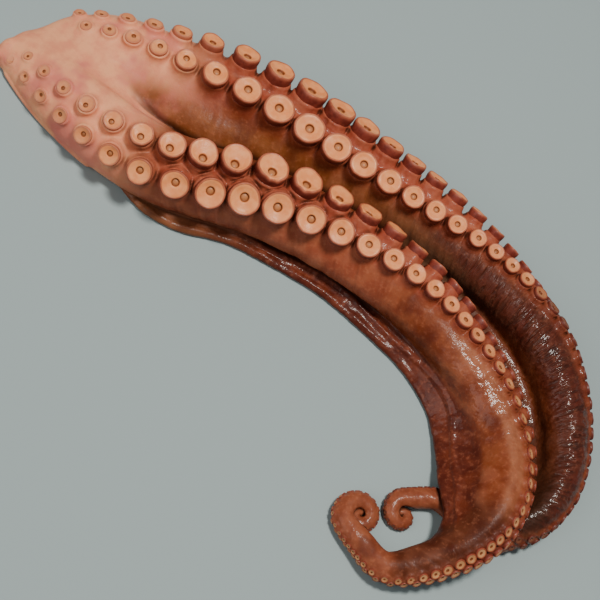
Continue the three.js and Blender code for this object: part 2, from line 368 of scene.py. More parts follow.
def curl_stations(centre, radius, start, turn, size, roll, steps):
    """Stations of a logarithmic spiral that lies on the surface."""
    rows = []
    for step in range(steps + 1):
        part = step / steps
        r = radius[0] * (radius[1] / radius[0]) ** part
        half = size[0] * (size[1] / size[0]) ** part
        angle = math.radians(start + turn * part)
        rows.append([centre[0] + r * math.cos(angle), centre[1] + r * math.sin(angle), half, half, roll, 0])
    return rows


class Limb:
    """A bent limb as samples at even distances, with the frame of each section."""

    def __init__(self, stations):
        x, y, half_width, half_height, roll, lift = np.array(stations, float).T
        turn = np.radians(roll)
        reach = np.hypot(half_height * np.cos(turn), half_width * np.sin(turn))
        rows = np.column_stack([
            x - PLAN_CENTRE[0], y - PLAN_CENTRE[1], reach - PRESS + lift, half_width, half_height, turn])
        dense = catmull(rows, np.linspace(0, len(rows) - 1, 6000))
        run = np.concatenate([[0], np.cumsum(np.linalg.norm(np.diff(dense[:, :3], axis=0), axis=1))])
        self.length = run[-1]
        self.s = np.arange(0, self.length, SAMPLE_STEP)
        values = np.column_stack([np.interp(self.s, run, column) for column in dense.T])
        centre = values[:, :3]
        along = unit(np.gradient(centre, axis=0))
        up = unit(np.array([0, 0, 1.0]) - along * along[:, 2:])
        left = np.cross(up, along)
        turn = values[:, 5:]
        oral = up * np.cos(turn) + left * np.sin(turn)
        side = left * np.cos(turn) - up * np.sin(turn)
        self.data = np.column_stack([centre, along, left, oral, side, values[:, 3:5]])

    def nearest(self, points):
        """The sample nearest to each of some points that lie close together."""
        centre = self.data[:, :3]
        middle = (points.min(0) + points.max(0)) / 2
        reach = np.sqrt(((points - middle) ** 2).sum(1).max())
        away = np.sqrt(((centre - middle) ** 2).sum(1))
        near = np.flatnonzero(away <= away.min() + 2 * reach)
        gap = (centre[near] ** 2).sum(1) - 2 * points @ centre[near].T
        return near[gap.argmin(1)]

    def locate(self, points):
        """Each point's place in the limb's own space, and the section there."""
        index = self.nearest(points)
        data = self.data[index]
        shift = dot(points - data[:, :3], data[:, 3:6]) / SAMPLE_STEP
        place = np.clip(index + shift, 0, len(self.s) - 1)
        low = np.minimum(place.astype(int), len(self.s) - 2)
        part = (place - low)[:, None]
        data = self.data[low] * (1 - part) + self.data[low + 1] * part
        offset = points - data[:, :3]
        return dict(
            s=place * SAMPLE_STEP,
            centre=data[:, :3],
            past=dot(offset, data[:, 3:6]),
            left=dot(offset, data[:, 6:9]),
            up=dot(offset, data[:, 9:12]),
            across=dot(offset, data[:, 12:15]),
            half_width=data[:, 15],
            half_height=data[:, 16],
        )

    def at(self, distance):
        """The centre, the directions along, oral and side, and the half height at a distance."""
        row = np.array([np.interp(distance, self.s, column) for column in self.data.T])
        return row[:3], row[3:6], row[9:12], row[12:15], row[16]


def ellipse_distance(offsets, halves):
    """Distance to an ellipse or ellipsoid about the origin, close to true near its surface."""
    near = np.sqrt(sum((offset / half) ** 2 for offset, half in zip(offsets, halves)))
    steep = np.sqrt(sum((offset / half ** 2) ** 2 for offset, half in zip(offsets, halves)))
    return near * (near - 1) / np.maximum(steep, 1e-6)


def section_distance(place):
    """Signed distance to an elliptical section, closed by a rounded end."""
    offsets = place["across"], place["up"], place["past"]
    width, height = place["half_width"], place["half_height"]
    return ellipse_distance(offsets, (width, height, CAP_LENGTH * height))


FAR = Limb(FAR_ARM + curl_stations(**FAR_CURL))
NEAR = Limb(NEAR_ARM + curl_stations(**NEAR_CURL))
PALM_LIMB = Limb(PALM)
SHOULDER_LIMB = Limb(SHOULDER)
LIP_LIMB = Limb(LIP)


# ---- suckers ----

def sucker_row(arm, name, first, first_row, step, offset, growth):
    """Place, axis and size of every sucker of an arm, its two rows in turns."""
    found = []
    distance, row = first, first_row
    while distance < arm.length - 3:
        diameter = table(SUCKER_DIAMETER, distance) * table(growth, distance)
        centre, along, oral, side, half_height = arm.at(distance)
        stalk = table(STALK_HEIGHT, distance)
        splay = math.radians(table(SUCKER_SPLAY[name, row], distance))
        outward = side * row
        axis = unit(oral * math.cos(splay) + outward * math.sin(splay))
        place = centre + oral * (half_height + stalk * diameter) + outward * table(offset, distance)
        base = 1 - ramp(distance, *BASE_COLLARS)
        collar = max(base, BEND_COLLAR * ramp(distance, *BEND_COLLARS))
        found.append(dict(
            arm=name, s=distance, row=row, diameter=diameter, place=place, axis=axis,
            along=unit(along), inward=-outward, base=base, collar=collar))
        distance += table(step, distance) / 2
        row = -row
    return found


SUCKERS = sucker_row(FAR, "far", **FAR_SUCKERS) + sucker_row(NEAR, "near", **NEAR_SUCKERS)


def stalk_distance(points, sucker):
    """A stalk that is narrow under the cup and flares into the arm."""
    size, collar = sucker["diameter"], sucker["collar"]
    offset = points - sucker["place"]
    height = dot(offset, sucker["axis"]) / size
    away = np.sqrt(np.maximum(dot(offset, offset) / size ** 2 - height ** 2, 0))
    radius = table(STALK, height) + COLLAR_WIDTH * collar
    bottom, top = STALK[0][0], STALK[-1][0] + COLLAR_RISE * collar * ramp(away, *COLLAR_RADII)
    wall = smooth_max(away - radius, height - top, 0.06)
    return size * smooth_max(wall, bottom - height, 0.1)


# ---- the webs ----

def flap_edge_table():
    """The flap's free edge by distance along the near arm: distance, left offset, height."""
    rows = np.array(FLAP, float) - [PLAN_CENTRE[0], PLAN_CENTRE[1], 0]
    edge = catmull(rows, np.linspace(0, len(rows) - 1, 600))
    place = NEAR.locate(edge)
    order = np.argsort(place["s"])
    distance = np.arange(place["s"].min(), place["s"].max(), 1.0)
    kernel = np.hanning(17)[1:-1]
    columns = []
    for column in (place["left"], edge[:, 2]):
        even = np.interp(distance, place["s"][order], column[order])
        padded = np.pad(even, len(kernel) // 2, mode="reflect", reflect_type="odd")
        columns.append(np.convolve(padded, kernel / kernel.sum(), mode="valid"))
    return np.column_stack([distance, *columns])


FLAP_EDGE = flap_edge_table()


def flap_edge(distance):
    """How far to the left of the near arm's middle the flap's edge lies, and how high."""
    return table(FLAP_EDGE[:, :2], distance), table(FLAP_EDGE[:, ::2], distance)


def valley_distance(points, far, near):
    """The far arm's belly: a quarter ellipse from high on that arm down to the crease."""
    far_height = far["centre"][:, 2] + table(BELLY, far["s"]) * far["half_height"]
    near_height = near["centre"][:, 2] + table(CREASE_HEIGHT, near["s"]) * near["half_height"]
    width = np.maximum(near["left"] - far["left"] - table(CREASE, near["s"]), 2)
    height = np.maximum(far_height - near_height, 2)
    above = np.maximum(points[:, 2] - near_height, 0)
    belly = ellipse_distance((-far["left"], above), (width, height))
    ends = np.maximum(VALLEY_ENDS[0] - near["s"], near["s"] - VALLEY_ENDS[1])
    return np.maximum(np.maximum(belly, far["left"]), ends)


def segment_distance(x, y, ax, ay, bx, by):
    """Distance in a plane to the line from a to b."""
    dx, dy = bx - ax, by - ay
    part = np.clip(((x - ax) * dx + (y - ay) * dy) / np.maximum(dx * dx + dy * dy, 1e-9), 0, 1)
    return np.hypot(x - ax - part * dx, y - ay - part * dy)


def flap_distance(points, near):
    """The free web along the near arm: a thin sheet with a rolled edge and a fold beside it."""
    s, x, y = near["s"], near["left"], points[:, 2]
    edge_left, edge_height = flap_edge(s)
    middle = edge_height - FLAP_THICKNESS / 2
    root = near["centre"][:, 2] + table(FLAP_JOIN, s) * near["half_height"] - FLAP_THICKNESS / 2
    sheet = segment_distance(x, y, edge_left, middle, 0 * x, root) - FLAP_THICKNESS / 2
    uneven = 1 + 0.16 * np.sin(s / 5.3) + 0.12 * np.sin(s / 2.9 + 1)
    rolled = np.hypot(x - edge_left - 1.0, y - middle - 0.4) - FLAP_EDGE_RADIUS * uneven
    fold_left = edge_left + FLAP_FOLD_AWAY + 1.2 * np.sin(s / 13)
    inward = 1 - fold_left / np.minimum(edge_left, -1e-3)
    fold_height = middle + (root - middle) * inward
    fold = np.hypot(x - fold_left, y - fold_height - 0.7) - FLAP_FOLD_RADIUS * ramp(inward, 0.05, 0.2)
    whole = smooth_min(smooth_min(sheet, rolled, 0.7), fold, 0.9)
    ends = np.maximum(FLAP_EDGE[0, 0] - s, s - FLAP_EDGE[-1, 0])
    return smooth_max(whole, ends, 2)


def cut_rim_distance(near):
    """The thin raised rim of skin along the near edge of the base."""
    bead = np.hypot(near["across"] + near["half_width"] + 0.1, near["up"] - 0.5) - CUT_RIM_RADIUS
    ends = np.maximum(CUT_RIM_ENDS[0] - near["s"], near["s"] - CUT_RIM_ENDS[1])
    return smooth_max(bead, ends, 3)


# ---- the flesh as one field ----

BASE_END = -60 - PLAN_CENTRE[0]  # beyond this X there is no palm, shoulder, rim or lip


def two_sides(points, far, near):
    """Distances to the far arm with its belly, and to the near arm with its flap and shoulder."""
    belly, flap = valley_distance(points, far, near), flap_distance(points, near)
    far_side = smooth_min(section_distance(far), belly, BLEND["belly"])
    near_side = smooth_min(section_distance(near), flap, table(FLAP_BLEND, near["s"]))
    if points[:, 0].min() < BASE_END:
        shoulder = section_distance(SHOULDER_LIMB.locate(points))
        near_side = smooth_min(near_side, shoulder, BLEND["shoulder"])
        near_side = smooth_min(near_side, cut_rim_distance(near), BLEND["cut_rim"])
    return far_side, near_side


def flesh(points):
    """Signed distance to the flesh without the sucker stalks, in millimetres."""
    far_side, near_side = two_sides(points, FAR.locate(points), NEAR.locate(points))
    parted = ramp(points[:, 0] + PLAN_CENTRE[0], *CREASE_FROM_X)
    blend = BLEND["joined"] + (BLEND["parted"] - BLEND["joined"]) * parted
    body = smooth_min(far_side, near_side, blend)
    if points[:, 0].min() < BASE_END:
        body = smooth_min(body, section_distance(PALM_LIMB.locate(points)), BLEND["palm"])
        body = smooth_min(body, section_distance(LIP_LIMB.locate(points)), BLEND["lip"])
    return body


def block_value(points, touching):
    """The field in one block: the flesh, the stalks that touch the block, and the floor."""
    value = flesh(points)
    if len(touching):
        stalks = [stalk_distance(points, SUCKERS[number]) for number in touching]
        widest = max(SUCKERS[number]["diameter"] for number in touching)
        value = smooth_min(value, np.min(stalks, axis=0), STALK_BLEND * widest)
    return smooth_max(value, -points[:, 2], BLEND["floor"])


def fill_field(low, shape):
    """The whole field on a grid, worked out in full only in the blocks near the surface."""
    counts = [math.ceil(n / BLOCK) for n in shape]
    field = np.full([n * BLOCK for n in counts], FIELD_FAR, np.float32)
    width = BLOCK * VOXEL
    reach = width * math.sqrt(3) / 2
    offsets = np.stack(np.meshgrid(*[np.arange(BLOCK) * VOXEL] * 3, indexing="ij"), -1).reshape(-1, 3)
    stalks = np.array([sucker["place"] - sucker["axis"] * 0.7 * sucker["diameter"] for sucker in SUCKERS])
    sizes = np.array([0.95 * sucker["diameter"] for sucker in SUCKERS])
    for i, j in np.ndindex(counts[0], counts[1]):
        column = low + np.array([i, j, 0]) * width + (width - VOXEL) / 2
        middles = column + np.outer(np.arange(counts[2]) * width, [0, 0, 1])
        rough = flesh(middles)
        for k in range(counts[2]):
            touching = np.flatnonzero(np.linalg.norm(stalks - middles[k], axis=1) < sizes + reach)
            block = tuple(slice(n * BLOCK, (n + 1) * BLOCK) for n in (i, j, k))
            if abs(rough[k]) > reach + FIELD_FAR and not len(touching):
                field[block] = np.sign(rough[k]) * FIELD_FAR
                continue
            points = low + np.array([i, j, k]) * width + offsets
            field[block] = block_value(points, touching).reshape([BLOCK] * 3)
    return field


def surface_net(field, low):
    """Vertices and quads of the field's zero surface, one vertex in each mixed cell."""
    inside = field < 0
    corners = [
        tuple(slice(start, n - 1 + start) for start, n in zip(corner, field.shape))
        for corner in np.ndindex(2, 2, 2)]
    count = sum(inside[corner].astype(np.int8) for corner in corners)
    cells = np.argwhere((count > 0) & (count < 8))
    number = np.full(count.shape, -1, np.int32)
    number[tuple(cells.T)] = np.arange(len(cells))
    values = {corner: field[tuple((cells + corner).T)] for corner in np.ndindex(2, 2, 2)}
    total, hits = np.zeros((len(cells), 3)), np.zeros(len(cells))
    for a in values:
        for axis in range(3):
            if a[axis]:
                continue
            b = tuple(1 if n == axis else a[n] for n in range(3))
            crossing = (values[a] < 0) != (values[b] < 0)
            part = values[a][crossing] / (values[a][crossing] - values[b][crossing])
            total[crossing] += np.array(a) + np.outer(part, np.array(b) - a)
            hits += crossing
    vertices = low + (cells + total / hits[:, None]) * VOXEL
    quads = []
    for axis in range(3):
        first, second = np.delete(inside, -1, axis), np.delete(inside, 0, axis)
        u, v = (axis + 1) % 3, (axis + 2) % 3
        edges = np.argwhere(first != second)
        edges = edges[(edges[:, u] > 0) & (edges[:, v] > 0)]
        edges = edges[(edges[:, u] < count.shape[u]) & (edges[:, v] < count.shape[v])]
        ring = []
        for du, dv in ((1, 1), (0, 1), (0, 0), (1, 0)):
            cell = edges.copy()
            cell[:, u] -= du
            cell[:, v] -= dv
            ring.append(number[tuple(cell.T)])
        quad = np.stack(ring, 1)
        outward = first[tuple(edges.T)]
        quad[~outward] = quad[~outward][:, ::-1]
        quads.append(quad)
    return vertices, np.vstack(quads)


def grid_value(field, low, points):
    """The field at free points, by straight-line blending of the grid."""
    place = (points - low) / VOXEL
    place = np.clip(place, 0, np.array(field.shape) - 1.001)
    cell = place.astype(int)
    part = place - cell
    total = np.zeros(len(points))
    for corner in np.ndindex(2, 2, 2):
        weight = np.prod(np.where(corner, part, 1 - part), axis=1)
        total += weight * field[tuple((cell + corner).T)]
    return total


def grid_slope(field, low, points):
    """The field's slope at free points, which points out of the flesh."""
    h = VOXEL * 0.5
    return np.stack([
        grid_value(field, low, points + step) - grid_value(field, low, points - step)
        for step in np.eye(3) * h], 1) / (2 * h)


# ---- meshes ----

def make_mesh(name, vertices, faces, attributes, normals=None):
    """A mesh object in metres from millimetre vertices, smooth shaded."""
    mesh = bpy.data.meshes.new(name)
    mesh.vertices.add(len(vertices))
    mesh.vertices.foreach_set("co", (vertices * MM).astype(np.float32).ravel())
    sides = faces.shape[1]
    mesh.loops.add(len(faces) * sides)
    mesh.loops.foreach_set("vertex_index", faces.astype(np.int32).ravel())
    mesh.polygons.add(len(faces))
    mesh.polygons.foreach_set("loop_start", np.arange(len(faces), dtype=np.int32) * sides)
    mesh.update(calc_edges=True)
    mesh.shade_smooth()
    for key, value in attributes.items():
        layer = mesh.attributes.new(key, "FLOAT", "POINT")
        layer.data.foreach_set("value", value.astype(np.float32))
    if normals is not None:
        mesh.normals_split_custom_set_from_vertices(normals)
    made = bpy.data.objects.new(name, mesh)
    bpy.context.scene.collection.objects.link(made)
    return made


def vertex_normals(vertices, faces):
    """Normals of a mesh of quads, each face weighing as much as its area."""
    a, b, c, d = (vertices[faces[:, k]] for k in range(4))
    face = np.cross(c - a, d - b)
    total = np.zeros_like(vertices)
    for k in range(4):
        np.add.at(total, faces[:, k], face)
    return unit(total + 1e-12)


def build_flesh():
    """The flesh's surface before its relief, with the field that it comes from."""
    low, high = np.array(cad_box[0]) / MM - MARGIN, np.array(cad_box[1]) / MM + MARGIN
    low[2] = -FLOOR_MARGIN
    shape = np.ceil((high - low) / VOXEL).astype(int)
    field = fill_field(low, shape)
    vertices, faces = surface_net(field, low)
    for _ in range(2):
        slope = grid_slope(field, low, vertices)
        value = grid_value(field, low, vertices)
        vertices -= slope * (value / np.maximum(dot(slope, slope), 0.3))[:, None] * 0.7
    return vertices, faces, field, low


# Sucker profile for a diameter of 1: radius, height above the rim plane, from the outside in.
CUP = np.array([
    [0.43, -0.55], [0.455, -0.48], [0.468, -0.41], [0.476, -0.34], [0.488, -0.25], [0.498, -0.16],
    [0.494, -0.08], [0.479, -0.025], [0.460, 0.0], [0.438, 0.0], [0.418, -0.016], [0.40, -0.014],
    [0.355, -0.027], [0.29, -0.045], [0.225, -0.06], [0.168, -0.07], [0.142, -0.082], [0.129, -0.105],
    [0.119, -0.14], [0.108, -0.158], [0.094, -0.152], [0.065, -0.138], [0.033, -0.132],
])
HOLE_RADII = (0.174, 0.3915)     # between which the profile stops shifting with the hole
PLUG_HEIGHT = -0.13              # of the hole's bottom
RIM_RADII = (0.30, 0.45)         # between which the rim's unevenness grows in
TORN_ENDS = (120, 185)           # of the near arm's upper row, where rims are torn


def cup_sides(size):
    """How many sides a cup is turned with."""
    if size > 9:
        return 40
    return 28 if size > 5 else 16


def cup_points(sucker, random):
    """One cup's rings of vertices and the point that closes its hole."""
    size, axis = sucker["diameter"], sucker["axis"]
    upper_near = (sucker["arm"], sucker["row"]) == ("near", 1)
    profile = CUP if size > 3 else CUP[::2]
    first = unit(sucker["along"] - axis * dot(sucker["along"], axis))
    second = np.cross(axis, first)
    angle = np.linspace(0, 2 * math.pi, cup_sides(size), endpoint=False)
    around = np.outer(np.cos(angle), first) + np.outer(np.sin(angle), second)
    radius, height = profile[:, 0][:, None], profile[:, 1][:, None]

    phase = random.uniform(0, 2 * math.pi, 4)
    lobes = 0.020 * np.cos(2 * angle + phase[0]) + 0.012 * np.cos(3 * angle + phase[1])
    lobes = lobes + 0.006 * np.cos(7 * angle + phase[2])
    outer = ramp(radius, *RIM_RADII)
    radius = radius * (1 + lobes * outer)
    ripple = 0.014 * np.cos(2 * angle + phase[1]) + 0.008 * np.cos(5 * angle + phase[3])
    height = height + ripple * outer * ramp(height, -0.5, -0.1)
    if upper_near and TORN_ENDS[0] < sucker["s"] < TORN_ENDS[1]:
        middle = 1.5 * math.pi - 0.4 * random.normal()
        turned = np.abs((angle - middle + math.pi) % (2 * math.pi) - math.pi)
        torn = (1 - ramp(turned, 0.3, 0.9)) * (0.7 + 0.3 * np.cos(9 * angle + phase[2]))
        height = height - 0.10 * torn * ramp(radius, 0.33, 0.44) * ramp(height, -0.2, -0.02)

    inward = sucker["inward"] - axis * dot(sucker["inward"], axis)
    off = table(NEAR_UPPER_HOLE_SHIFT if upper_near else HOLE_SHIFT, sucker["s"])
    shift = unit(inward) * off + (first * random.normal() + second * random.normal()) * 0.018
    central = 1 - ramp(radius, *HOLE_RADII)
    rings = around[None] * radius[..., None] + axis * height[..., None] + shift * central[..., None]
    plug = sucker["place"] + (axis * PLUG_HEIGHT + shift) * size
    grid = sucker["place"] + rings * size
    grid[..., 2] = np.maximum(grid[..., 2], 0.05)
    return grid, plug


def build_cups(suckers, seed):
    """All cups of one arm as one mesh: vertices, faces and the numbers its material reads."""
    random = np.random.default_rng(seed)
    vertices, faces = [], []
    attributes = {key: [] for key in ("ring", "size", "along", "base", "on_far")}
    total = 0
    for sucker in suckers:
        grid, plug = cup_points(sucker, random)
        rings, sides = grid.shape[:2]
        vertices.append(np.vstack([grid.reshape(-1, 3), plug]))
        i, j = np.meshgrid(np.arange(rings - 1), np.arange(sides), indexing="ij")
        a, b = total + i * sides + j, total + i * sides + (j + 1) % sides
        faces.append(np.stack([a, b, b + sides, a + sides], -1).reshape(-1, 4))
        last, centre = total + (rings - 1) * sides, total + rings * sides
        k = np.arange(0, sides, 2)
        faces.append(np.stack([0 * k + centre, last + k, last + k + 1, last + (k + 2) % sides], 1))
        ring = np.arange(0, len(CUP), 1 if rings == len(CUP) else 2)
        attributes["ring"].append(np.append(np.repeat(ring / (len(CUP) - 1), sides), 1.0))
        on_far = sucker["arm"] == "far"
        numbers = dict(size=sucker["diameter"], along=sucker["s"], base=sucker["base"], on_far=on_far)
        for key, value in numbers.items():
            attributes[key].append(np.full(rings * sides + 1, float(value)))
        total += rings * sides + 1
    attributes = {key: np.concatenate(value) for key, value in attributes.items()}
    return np.vstack(vertices), np.vstack(faces), attributes


# ---- relief and paint values over the flesh ----

# Where a patch begins and ends along its arm: rise from, rise to, fall from, fall to. Most are patches of
# skin or of wet coat; the gap patch is painted shade and the ridge patch painted light.
PATCH_ENDS = dict(
    low_flank=(45, 95, 170, 245),
    far_flank=(130, 215, 375, 405),
    lit_ridge=(222, 262, 325, 352),
    foot=(315, 345, 370, 396),
    gap=(160, 215, 372, 392),
    wet_far=(235, 300, 375, 400),
    wet_oral=(60, 110, 200, 250),
)
TIP_FROM, WET_TIP_FROM = (372, 396), (385, 410)
BASE_FADES = (38, 108)
ORAL_FROM, ORAL_FADES = (50, 110), (200, 260)
BELLY_FADES = (190, 260)


def in_pieces(call, points, size=20000):
    """Calls a function on rows that lie close together, and joins what it returns."""
    parts = [call(points[i:i + size]) for i in range(0, len(points), size)]
    if isinstance(parts[0], dict):
        return {key: np.concatenate([part[key] for part in parts]) for key in parts[0]}
    return np.concatenate(parts)


def stalk_nearness(vertices):
    """1 at a sucker's stalk, 0 away from it."""
    stalk = np.zeros(len(vertices))
    for sucker in SUCKERS:
        size = sucker["diameter"]
        middle = sucker["place"] - sucker["axis"] * 0.6 * size
        box = np.flatnonzero(np.abs(vertices - middle).max(1) < size)
        gap = np.linalg.norm(vertices[box] - middle, axis=1) / size
        stalk[box] = np.maximum(stalk[box], 1 - ramp(gap, 0.35, 0.85))
    return stalk


def paint_values(vertices, normals, field, low):
    """Numbers per vertex that the material and the relief read, mostly from 0 to 1.

    s is the distance along the vertex's own arm. Its angle goes round that arm, from 0 in the
    middle of the sucker side, and is negative on the side of the flap.
    """
    far, near = in_pieces(FAR.locate, vertices), in_pieces(NEAR.locate, vertices)
    far_gap, near_gap = two_sides(vertices, far, near)
    on_far = (far_gap < near_gap).astype(float)
    on_near = 1 - on_far
    s, across, up = (np.where(on_far > 0, far[key], near[key]) for key in ("s", "across", "up"))
    angle = np.arctan2(across, up)
    x = vertices[:, 0] + PLAN_CENTRE[0]
    oral = bell(angle, 0, 0.8)
    past_crease = ramp(near_gap - far_gap, -1, 3)
    crease_width = 2 + 3.5 * past_crease
    crease_near = 1 - ramp(np.maximum(far_gap, near_gap) / crease_width, 0.05, 1)
    belly = past_crease * (1 - ramp(near_gap, 2, 20)) * (1 - ramp(s, *BELLY_FADES))
    flap_width = 0.3 + 0.5 * table(FLAP_BLEND, near["s"])
    flap_near = 1 - ramp(flap_distance(vertices, near) / flap_width, 0.0, 1.0)
    on_flap = flap_near * (near["left"] < 0)
    part = {key: between(s, *ends) for key, ends in PATCH_ENDS.items()}
    return dict(
        s=s, angle=angle, on_far=on_far, on_flap=on_flap,
        flap_across=near["left"] - flap_edge(near["s"])[0],
        # how closed in the flesh is round a point, read for the painted shade in hollows
        hollow=1 - np.clip(grid_value(field, low, vertices + normals * 3) / 3, 0, 1),
        stalk=stalk_nearness(vertices),
        base=1 - ramp(s, *BASE_FADES),
        tip=ramp(s, *TIP_FROM),
        oral=oral * ramp(s, *ORAL_FROM) * (1 - 0.7 * ramp(s, *ORAL_FADES)),
        low_flank=on_near * bell(angle, -1.6, 0.85) * part["low_flank"],
        far_flank=on_far * bell(angle, -1.6, 0.95) * part["far_flank"],
        # painted light: a paler band along the lit top of the near arm's ridge at the bend
        lit_ridge=on_near * bell(angle, -0.92, 0.32) * part["lit_ridge"],
        foot=on_near * part["foot"],
        # the belly's browner flesh, laid strongest next to the crease as painted shade
        belly=ramp(x, *BELLY_FROM_X) * belly,
        # painted shade along the crease where the two arms meet
        crease=ramp(x, *CREASE_FROM_X) * crease_near,
        # painted shade in the deep valley between the arms, next to the near arm
        gap=on_far * (1 - ramp(near_gap, 5, 17)) * part["gap"],
        wet=np.maximum.reduce([
            0.6 * on_flap,
            on_near * bell(s, 272, 34),
            on_far * part["wet_far"],
            0.55 * oral * part["wet_oral"],
            0.6 * ramp(s, *WET_TIP_FROM)]))


def relief(vertices, values):
    """Folds, wrinkles and ruffles of the skin, in millimetres along the normal."""
    s, around = values["s"], values["angle"] * 12
    arm = values["on_far"] * 40
    firm = 1 - 0.75 * values["base"]
    free = 1 - values["on_flap"]

    swell = 0.34 * noise(vertices / 11, 1) + 0.20 * noise(vertices / 5.5, 2)
    slanted = np.column_stack([(s + 0.55 * around) / 2.4, around / 15, arm])
    creases = 0.5 - np.abs(noise(slanted, 3))
    broad = np.column_stack([(s + 0.5 * around) / 6.5, around / 14, arm])
    rolls = 0.5 - np.abs(noise(broad, 4))
    wrinkled = 0.25 + values["far_flank"] + 0.45 * values["low_flank"] + 0.35 * values["oral"]
    skin = free * firm * (swell + wrinkled * (0.42 * creases + 0.55 * rolls))

    netted = 0.5 - np.abs(noise(vertices / 3.6, 5))
    net = free * firm * values["oral"] * 0.45 * netted
    ruffles = np.column_stack([s / 3.1, values["flap_across"] / 5, arm])
    flap = values["on_flap"] * (0.24 * (0.5 - np.abs(noise(ruffles, 6))) + 0.12 * noise(vertices / 3, 7))
    return skin + net + flap


# ---- materials ----

class Shader:
    """A short way to write a material's node tree."""

    def __init__(self, name):
        self.material = bpy.data.materials.new(name)
        self.material.use_nodes = True
        self.nodes = self.material.node_tree.nodes
        self.links = self.material.node_tree.links
        self.principled = self.nodes["Principled BSDF"]

    def add(self, kind, inputs=None, **settings):
        node = self.nodes.new(kind)
        for key, value in settings.items():
            setattr(node, key, value)
        for key, value in (inputs or {}).items():
            self.put(node.inputs[key], value)
        return node

    def put(self, socket, value):
        if isinstance(value, bpy.types.NodeSocket):
            self.links.new(value, socket)
        else:
            socket.default_value = value

    def attribute(self, name):
        return self.add("ShaderNodeAttribute", attribute_name=name).outputs["Fac"]

    def math(self, operation, a, b=0.0, clamp=False):
        return self.add("ShaderNodeMath", {0: a, 1: b}, operation=operation, use_clamp=clamp).outputs[0]

    def product(self, *values):
        total = values[0]
        for value in values[1:]:
            total = self.math("MULTIPLY", total, value)
        return total

    def inverse(self, value):
        return self.math("SUBTRACT", 1, value)

    def ramp(self, value, low, high, start=0.0, end=1.0):
        node = self.add("ShaderNodeMapRange", {
            "Value": value, "From Min": low, "From Max": high, "To Min": start, "To Max": end},
            interpolation_type="SMOOTHSTEP")
        return node.outputs["Result"]

    def noise(self, scale, detail=3.0, roughness=0.55, vector=None):
        if vector is None:
            vector = self.add("ShaderNodeTexCoord").outputs["Object"]
        return self.add("ShaderNodeTexNoise", {
            "Scale": scale, "Detail": detail, "Roughness": roughness, "Vector": vector}).outputs["Fac"]

    def mix(self, amount, a, b):
        node = self.add("ShaderNodeMix", data_type="RGBA")
        self.put(node.inputs["Factor"], amount)
        self.put(node.inputs["A"], a)
        self.put(node.inputs["B"], b)
        return node.outputs["Result"]

    def bump(self, height, strength, distance, normal=None):
        inputs = {"Height": height, "Strength": strength, "Distance": distance}
        if normal is not None:
            inputs["Normal"] = normal
        return self.add("ShaderNodeBump", inputs).outputs["Normal"]

    def finish(self, **sockets):
        for key, value in sockets.items():
            name = key.replace("_", " ").title().replace("Ior", "IOR")
            self.put(self.principled.inputs[name], value)
        return self.material


def rgb(red, green, blue):
    """A colour of 0 to 255 as seen on a screen, as Blender's linear numbers."""
    seen = np.array([red, green, blue]) / 255
    linear = np.where(seen > 0.04045, ((seen + 0.055) / 1.055) ** 2.4, seen / 12.92)
    return (*linear, 1.0)


# Pairs of tones that mottle the flesh. Those of PATCH_TONES lie over each other in this order.
SKIN_TONES = (110, 48, 26), (130, 66, 38)
PATCH_TONES = dict(
    # painted light: the tones of the lit top of the near arm's ridge
    lit_ridge=((132, 72, 46), (150, 90, 62)),
    foot=((74, 32, 18), (88, 42, 24)),
    tip=((124, 62, 40), (142, 78, 52)),
    oral=((156, 72, 50), (174, 96, 68)),
    low_flank=((146, 72, 49), (164, 90, 62)),
    far_flank=((52, 21, 13), (68, 30, 19)),
    base=((236, 162, 120), (224, 142, 108)),
)
# The belly's browner flesh, strongest next to the crease, where it is also painted shade.
BELLY_BROWN_AND_SHADE_TONES = (116, 60, 28), (132, 74, 38)
FLAP_START_TONES, FLAP_TONES = ((134, 82, 52), (116, 68, 44)), ((76, 28, 17), (102, 44, 26))


